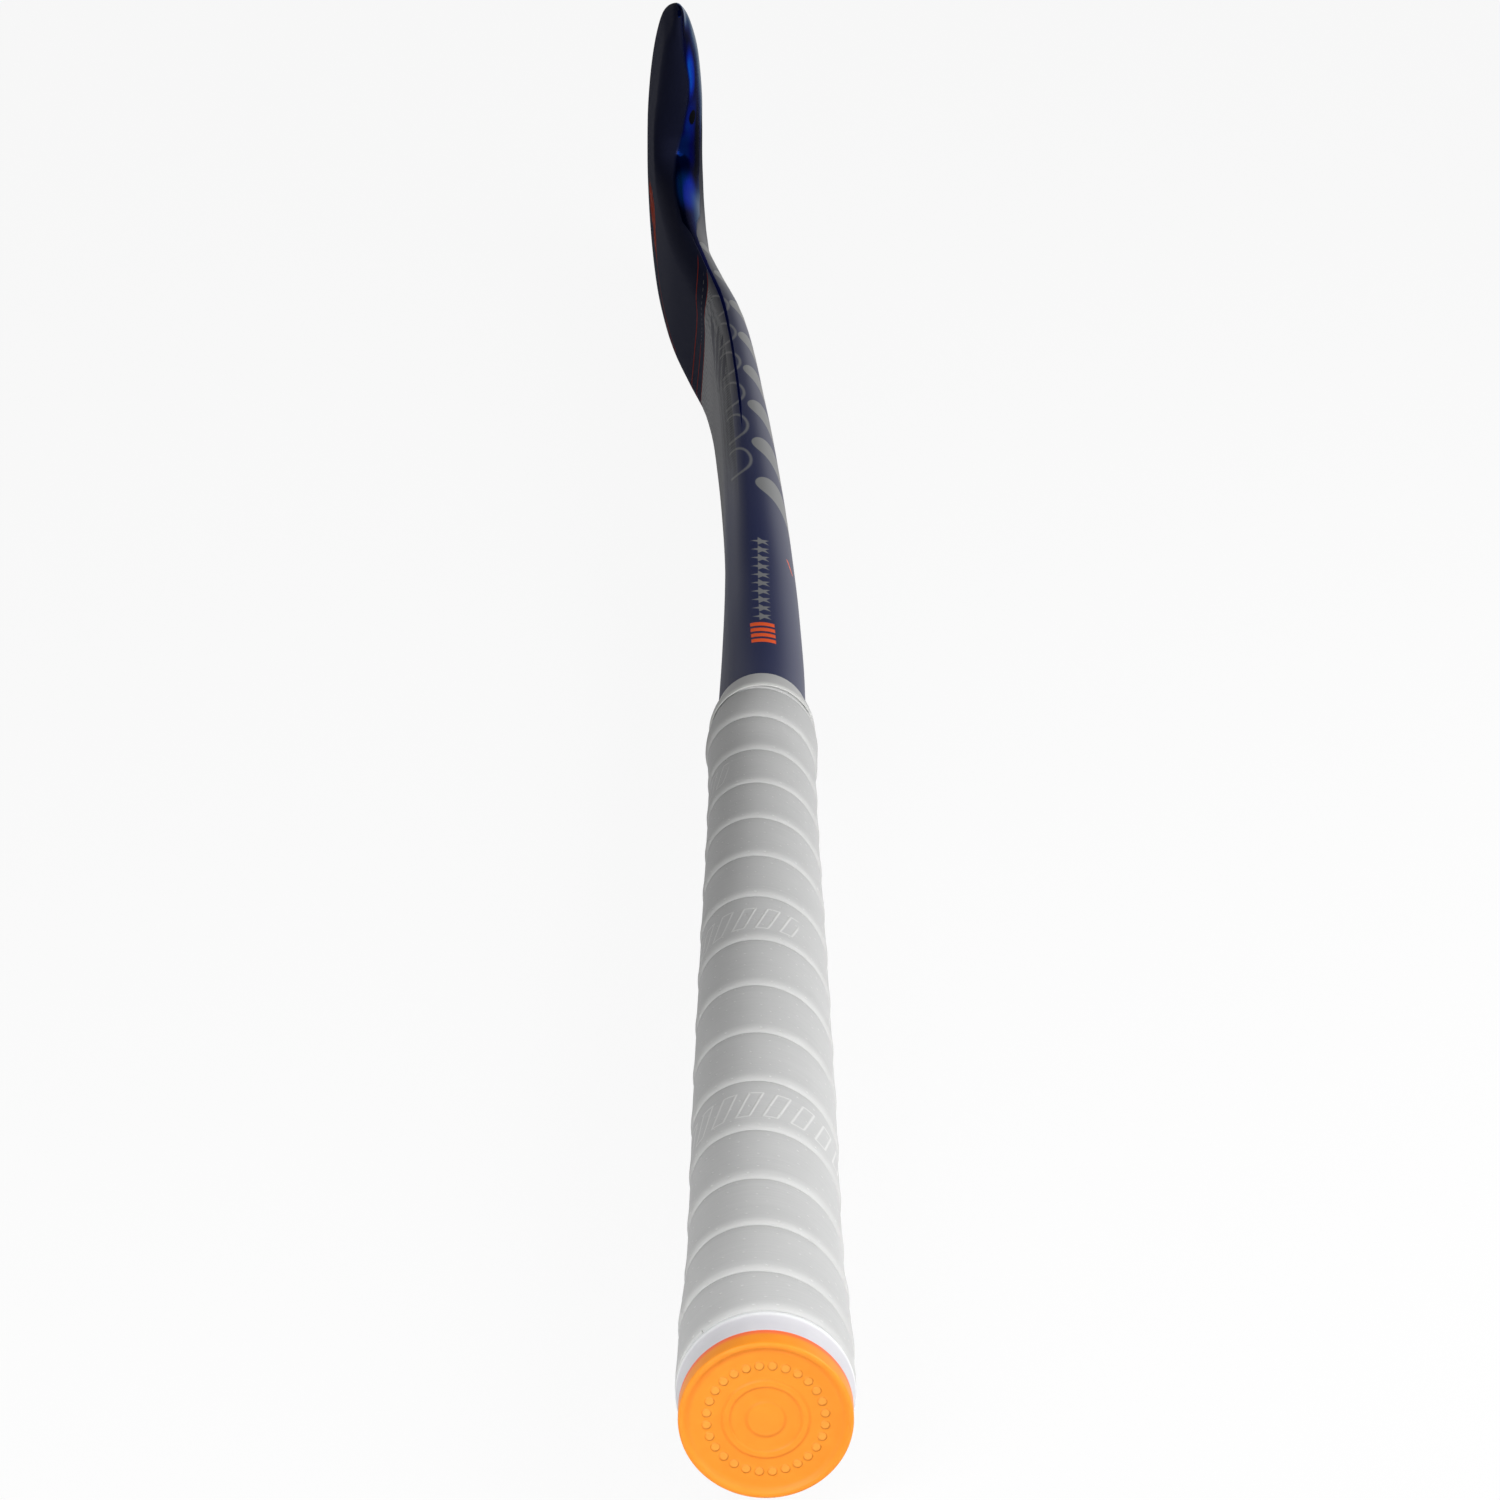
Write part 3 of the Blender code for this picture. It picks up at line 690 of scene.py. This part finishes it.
def grip_section(turns):
    """The tape's section at one place of the winding, lapped over the turn before it."""
    low = max(GRIP_START, grip_edge(turns))
    high = min(GRIP_END, grip_edge(turns + 1) + GRIP_OVERLAP)
    width = high - low
    squeeze = min(1.0, width / 22.0)
    angle = FULL_TURN * (turns + 0.25)
    fade = min(1.0, max(0.0, (GRIP_END - low) / 20))
    points = []
    for edge, height, lap in TAPE_OUTSIDE:
        along = (low if edge >= 0 else high) + edge * squeeze
        build = grip_build(min(along, GRIP_END))
        points.append((along, build * height + lap * fade))
    for edge, height in TAPE_INSIDE:
        along = (low if edge > 0 else high) + edge * squeeze
        build = grip_build(min(along, GRIP_END))
        points.append((along, build * height))
    ring = []
    for along, height in points:
        radius = handle_radius(along) + GAP + height
        ring.append(place(along, -radius * math.cos(angle), radius * math.sin(angle)))
    return ring, low


def make_grip():
    """One unbroken tape wound round the handle, each turn lapping the one before."""
    first = 0
    while grip_edge(first / GRIP_STEPS_PER_TURN + 1) + GRIP_OVERLAP - GRIP_START > NARROWEST_TURN:
        first -= 1
    last = GRIP_TURNS * GRIP_STEPS_PER_TURN
    while GRIP_END - grip_edge(last / GRIP_STEPS_PER_TURN) > NARROWEST_TURN:
        last += 1
    rings = []
    lows = []
    steps = range(first + 1, last)
    for step in steps:
        ring, low = grip_section(step / GRIP_STEPS_PER_TURN)
        rings.append(ring)
        lows.append(low)
    body, where = loft(rings)
    surface = body.loops.layers.uv.new("surface")
    for face in body.faces:
        for corner in face.loops:
            row, column = where[corner.vert]
            around = (steps[row] / GRIP_STEPS_PER_TURN) * FULL_TURN * GRIP_MIDDLE_RADIUS * MM
            across = rings[row][column].y - (BUTT_Y + lows[row]) * MM
            corner[surface].uv = (around, across)
    finish_piece("wound_grip", body, grip_foam(), "grip_tape", flat_angle=75)


def grip_foam():
    """Soft perforated polyurethane, light grey, with a painted highlight along each raised lap, and
    pressed strokes.
    """
    skin = Finish("grip_foam", Roughness=0.6, Specular_IOR_Level=0.3)
    around, across = skin.surface()
    pin_around, pin_across = 4.4, 3.4
    row = skin.math("FLOOR", across / pin_across)
    cell_u = (skin.math("FRACT", around / pin_around + row * 0.5) - 0.5) * pin_around
    cell_v = (skin.math("FRACT", across / pin_across) - 0.5) * pin_across
    pin = skin.step(skin.math("SQRT", cell_u * cell_u + cell_v * cell_v), 0.42, 0.16)
    pin = pin * skin.step(skin.noise(skin.vector(around, across), 0.35, 0.0), 0.38, 0.55)
    streaks = skin.noise(skin.vector(around * 0.05, across * 1.5), 1.0, 3.0)
    blotches = skin.noise(skin.vector(around, across), 0.045, 3.0)
    lap = skin.step(across, 4.6, 1.0)
    stroke_u = skin.math("FLOORED_MODULO", around + 51.0, 435.0)
    from_middle = across - 12.5
    stroke_pitch = 6.2
    leaning = (stroke_u + from_middle * 0.25) / stroke_pitch
    leaning = (skin.math("FRACT", leaning) - 0.5) * stroke_pitch
    strokes = skin.near(skin.math("ABSOLUTE", leaning) - 1.55, 0.5, 0.25)
    ends = skin.step(skin.math("ABSOLUTE", leaning), 1.9, 1.5)
    ends = ends * skin.near(skin.math("ABSOLUTE", from_middle) - 6.3, 0.6, 0.3)
    strokes = skin.most(strokes * skin.band(across, 6.2, 18.8, 0.2), ends)
    strokes = strokes * skin.band(stroke_u, 1.0, 61.0, 0.5) * skin.step(around, 200.0, 201.0)
    base = skin.mix(streaks * 0.55 + blotches * 0.45, GRIP_GREY, GRIP_GREY_LIGHT)
    # Painted highlight: a paler band along each raised lap
    base = skin.mix(lap * 0.15, base, LAP_HIGHLIGHT)
    base = skin.mix(skin.most(pin * 0.5, strokes * 0.7), base, PRESSED_WHITE)
    skin.colour(base)
    skin.bump(streaks * 0.25 - pin + strokes * 0.8, 0.09)
    return skin.material


def turned(name, profile, finish, node, closed=False):
    """A piece turned about the handle's axis from (radius, along) points."""
    body = bmesh.new()
    points = [body.verts.new(place(along, 0, 0) + Vector((radius * MM, 0, 0)))
              for radius, along in profile]
    pairs = zip(points, points[1:] + points[:1] if closed else points[1:])
    edges = [body.edges.new(pair) for pair in pairs]
    bmesh.ops.spin(body, geom=points + edges, cent=place(0, 0, 0), axis=(0, 1, 0),
                   angle=FULL_TURN, steps=TURNED_SEGMENTS, use_merge=True)
    bmesh.ops.remove_doubles(body, verts=body.verts, dist=0.000002)
    bmesh.ops.recalc_face_normals(body, faces=body.faces)
    finish_piece(name, body, finish, node)


def rounded(corners, segments=5):
    """A profile with each corner (radius, along, rounding) drawn as an arc."""
    points = []
    for i, (radius, along, rounding) in enumerate(corners):
        here = Vector((radius, along))
        if rounding == 0:
            points.append(here)
            continue
        before = (Vector(corners[i - 1][:2]) - here).normalized()
        after = (Vector(corners[(i + 1) % len(corners)][:2]) - here).normalized()
        start = here + before * rounding
        end = here + after * rounding
        for k in range(segments + 1):
            t = k / segments
            points.append(start * (1 - t) ** 2 + here * 2 * t * (1 - t) + end * t * t)
    return [tuple(point) for point in points]


def cap_plastic():
    """Satin orange plastic, with painted highlights on the raised pips, painted shade at the foot
    of the disc and ring and in the groove round the recess, and redder at the flange's back edge.
    """
    skin = Finish("cap_plastic", Roughness=0.5, Specular_IOR_Level=0.35)
    along, face, toe = skin.place()
    reach = skin.math("SQRT", face * face + toe * toe)
    turn = skin.math("ARCTAN2", toe, face) / FULL_TURN + 0.5
    mottle = skin.noise(skin.vector(face, toe, along), 0.3, 3.0)
    base = skin.mix(mottle, CAP_ORANGE, CAP_ORANGE_LIGHT)
    from_pip = (skin.math("FRACT", turn * PIPS) - 0.5) * (FULL_TURN * PIP_RING / PIPS)
    from_ring = reach - PIP_RING
    pip = skin.step(skin.math("SQRT", from_pip * from_pip + from_ring * from_ring), 1.15, 0.75)
    on_front = skin.step(along, CAP_FACE + 1.0, CAP_FACE + 0.6)
    pip = pip * on_front
    # Painted highlight on the raised pips
    base = skin.mix(pip * 0.6, base, PIP_HIGHLIGHT_ORANGE)
    # Painted shade at the foot of the raised disc and ring
    foot_shade = skin.most(skin.near(reach - 4.1, 0.5, 0.4), skin.near(reach - 7.4, 0.4, 0.4),
                     skin.near(reach - 9.2, 0.4, 0.4))
    base = skin.mix(foot_shade * on_front * 0.5, base, FOOT_SHADE_ORANGE)
    # Painted shade in the groove round the recess
    groove_shade = skin.near(reach - (RECESS_RADIUS + 0.1), 0.7, 0.35)
    base = skin.mix(groove_shade * 0.6, base, GROOVE_SHADE_ORANGE)
    base = skin.mix(skin.step(along, CAP_BACK - 2.4, CAP_BACK - 0.9), base, EDGE_ORANGE)
    skin.colour(base)
    grain = skin.noise(skin.vector(face, toe, along), 5.0, 2.0)
    skin.bump(pip + grain * 0.04, 0.3)
    return skin.material


def make_cap():
    """Moulded end cap: rounded rim, plain disc and ring on its face, and a barbed stem."""
    raised = CAP_FACE - CAP_RELIEF
    corners = [
        (0, raised, 0), (3.8, raised, 0.5), (4.3, CAP_FACE, 0.4), (7.3, CAP_FACE, 0.4),
        (7.7, raised, 0.3), (8.9, raised, 0.3), (9.3, CAP_FACE, 0.4),
        (RECESS_RADIUS, CAP_FACE, 0.7), (RECESS_RADIUS + 1.1, CAP_FRONT, 0.4),
        (CAP_RADIUS, CAP_FRONT, 0.75), (CAP_RADIUS, CAP_BACK, 0.3), (STEM_RADIUS, CAP_BACK, 0),
    ]
    barb_pitch = (STEM_LENGTH - 6) / STEM_BARBS
    for i in range(STEM_BARBS):
        barb = CAP_BACK + 4 + i * barb_pitch
        corners += [(STEM_RADIUS, barb, 0), (STEM_RADIUS + STEM_BARB_HEIGHT, barb + 0.5, 0),
                    (STEM_RADIUS, barb + barb_pitch - 1, 0)]
    tip = CAP_BACK + STEM_LENGTH
    corners += [(STEM_RADIUS - 1, tip, 0), (0, tip, 0)]
    turned("cap", rounded(corners), cap_plastic(), "end_cap")


def collar_plastic():
    """Smooth lilac-white plastic, with a painted highlight along the bead."""
    skin = Finish("collar_plastic", Roughness=0.42, Specular_IOR_Level=0.4)
    along, face, toe = skin.place()
    mottle = skin.noise(skin.vector(face, toe, along), 0.3, 2.0)
    base = skin.mix(mottle, COLLAR_LILAC, COLLAR_LILAC_LIGHT)
    # Painted highlight along the bead
    bead = skin.near(along - COLLAR_BEAD - 0.4, 2.4, 0.6)
    skin.colour(skin.mix(bead, base, BEAD_HIGHLIGHT))
    skin.bump(mottle, 0.02)
    return skin.material


def make_collar():
    """Smooth ring round the butt, from the cap over a bead to the grip."""
    corners = [
        (COLLAR_BORE, COLLAR_FRONT, 0), (18.0, COLLAR_FRONT, 0.3), (18.45, COLLAR_BEAD - 2.2, 1.2),
        (COLLAR_RADIUS, COLLAR_BEAD, 0.9), (18.5, COLLAR_END, 0.4),
        (COLLAR_BORE, COLLAR_END, 0),
    ]
    turned("collar", rounded(corners), collar_plastic(), "butt_collar",
           closed=True)


def band_film():
    """The grip's last stretch: stretched film of the same light grey, with a painted highlight
    along its lip.
    """
    skin = Finish("band_film", Roughness=0.55, Specular_IOR_Level=0.3)
    along, face, toe = skin.place()
    angle = skin.math("ARCTAN2", toe, face)
    streaks = skin.noise(skin.vector(angle * 3.0, along * 1.6), 1.0, 3.0)
    base = skin.mix(streaks, BAND_GREY, BAND_GREY_LIGHT)
    # Painted highlight along the lip where the band rides over the grip
    lip_highlight = skin.step(along, BAND_START + 2.5, BAND_START + 0.5)
    skin.colour(skin.mix(lip_highlight * 0.5, base, BAND_LIP_HIGHLIGHT))
    skin.bump(streaks, 0.06)
    return skin.material


def make_band():
    """Finishing band over the grip's thinned end and down onto the shaft."""
    over_grip = float(handle_radius(BAND_START)) + GAP + grip_build(BAND_START) + 0.16
    past_grip = float(handle_radius(GRIP_END)) + GAP + grip_build(GRIP_END) + 0.16
    on_shaft = float(handle_radius(BAND_END)) + 0.2
    corners = [
        (over_grip, BAND_START, 0), (over_grip + 0.3, BAND_START, 0.15),
        (over_grip + 0.55, BAND_START + 1.2, 0.6), (past_grip + 0.6, GRIP_END, 1.5),
        (on_shaft + 0.9, BAND_END - 3.5, 1.5), (on_shaft + 0.3, BAND_END, 0.12),
        (on_shaft, BAND_END, 0), (on_shaft, GRIP_END + 1.8, 0), (past_grip, GRIP_END + 0.4, 0),
    ]
    turned("band", rounded(corners), band_film(), "finishing_band", closed=True)


def dress_inner_pieces():
    """The foam, liner and plug that the shell hides."""
    for node, name, first, second, rough in (
        ("head_foam_core", "core_foam", (0.62, 0.55, 0.38), (0.5, 0.42, 0.27), 0.9),
        ("shaft_liner", "liner_film", (0.55, 0.60, 0.66), (0.45, 0.5, 0.58), 0.4),
        ("handle_plug", "plug_foam", (0.12, 0.12, 0.12), (0.05, 0.05, 0.05), 0.85),
    ):
        skin = Finish(name, Roughness=rough)
        cells = skin.noise(skin.node("TexCoord", {}).outputs["Object"], 900.0, 2.0)
        skin.colour(skin.mix(cells, first, second))
        skin.bump(cells, 0.1)
        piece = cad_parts[node]
        piece.data.materials.clear()
        piece.data.materials.append(skin.material)


ROOM_LIGHT = 0.12
CEILING_SHADE = 0.10
# Softboxes: name, where it hangs, where it aims, its size in metres and its power in watts
LAMPS = (
    ("key_lamp", (0.5, -0.5, 0.35), (0.0, 0.1, 0.0), 0.35, 3.1),
    ("front_lamp", (0.5, -1.5, 0.35), (0.0, 0.1, 0.0), 0.4, 1.15),
    ("left_lamp", (-0.25, -0.8, 0.35), (0.0, -0.3, 0.0), 0.3, 2.1),
    ("butt_lamp", (0.1, -0.8, 0.45), (0.0, -0.45, 0.0), 0.3, 0.45),
    ("side_lamp", (0.5, 0.0, 0.35), (0.0, 0.2, 0.0), 0.35, 0.8),
)


def seen_directly(skin):
    """1 for rays that see a surface straight, in a mirror or through glass."""
    path = skin.node("LightPath", {})
    rays = [Amount(skin, path.outputs[name])
            for name in ("Is Camera Ray", "Is Glossy Ray", "Is Transmission Ray")]
    return skin.most(*rays)


def make_stage():
    """Pale floor, white surroundings under a dim ceiling, and soft lamps."""
    body = bmesh.new()
    bmesh.ops.create_grid(body, x_segments=1, y_segments=1, size=12.0)
    mesh = bpy.data.meshes.new("floor")
    body.to_mesh(mesh)
    body.free()
    floor = bpy.data.objects.new("floor", mesh)
    bpy.context.scene.collection.objects.link(floor)
    paint = Finish("floor_paint", Base_Color=(0.8, 0.8, 0.8, 1.0), Roughness=0.9,
                   Specular_IOR_Level=0.0)
    white = paint.node("Emission", {"Color": (1.0, 1.0, 1.0, 1.0), "Strength": 1.0})
    both = paint.node("MixShader", {0: seen_directly(paint) * 0.92})
    paint.links.new(paint.shader.outputs[0], both.inputs[1])
    paint.links.new(white.outputs[0], both.inputs[2])
    paint.links.new(both.outputs[0], paint.nodes["Material Output"].inputs[0])
    mesh.materials.append(paint.material)

    world = bpy.data.worlds.new("surroundings")
    bpy.context.scene.world = world
    world.use_nodes = True
    around = Finish.of_tree(world.node_tree)
    toward = around.node("SeparateXYZ", {0: around.node("TexCoord", {}).outputs["Generated"]})
    ceiling = around.step(Amount(around, toward.outputs[2]), 0.10, 0.34)
    seen = around.blend(ceiling, 1.0, CEILING_SHADE)
    strength = around.blend(seen_directly(around), ROOM_LIGHT, seen)
    background = around.nodes["Background"]
    background.inputs["Color"].default_value = (1.0, 1.0, 1.0, 1.0)
    around.feed(background.inputs["Strength"], strength)

    for name, spot, aim, size, power in LAMPS:
        lamp = bpy.data.lights.new(name, "AREA")
        lamp.shape = "SQUARE"
        lamp.size = size
        lamp.energy = power
        holder = bpy.data.objects.new(name, lamp)
        bpy.context.scene.collection.objects.link(holder)
        holder.location = spot
        holder.rotation_euler = (Vector(aim) - Vector(spot)).to_track_quat("-Z", "Y").to_euler()
        holder.visible_camera = False


def make_camera():
    """Camera beyond the butt, looking down along the stick."""
    camera = bpy.data.cameras.new("camera")
    camera.sensor_width = 36.0
    camera.lens = 130.3
    camera.clip_start = 0.05
    camera.clip_end = 50.0
    holder = bpy.data.objects.new("camera", camera)
    bpy.context.scene.collection.objects.link(holder)
    holder.location = place(-1001.0, 3.3, 542.5)
    holder.rotation_euler = (math.radians(90 - 21.53), 0, 0)
    bpy.context.scene.camera = holder


make_camera()
make_shell()
make_grip()
make_cap()
make_collar()
make_band()
dress_inner_pieces()
make_stage()
bpy.context.scene.view_settings.view_transform = "Standard"
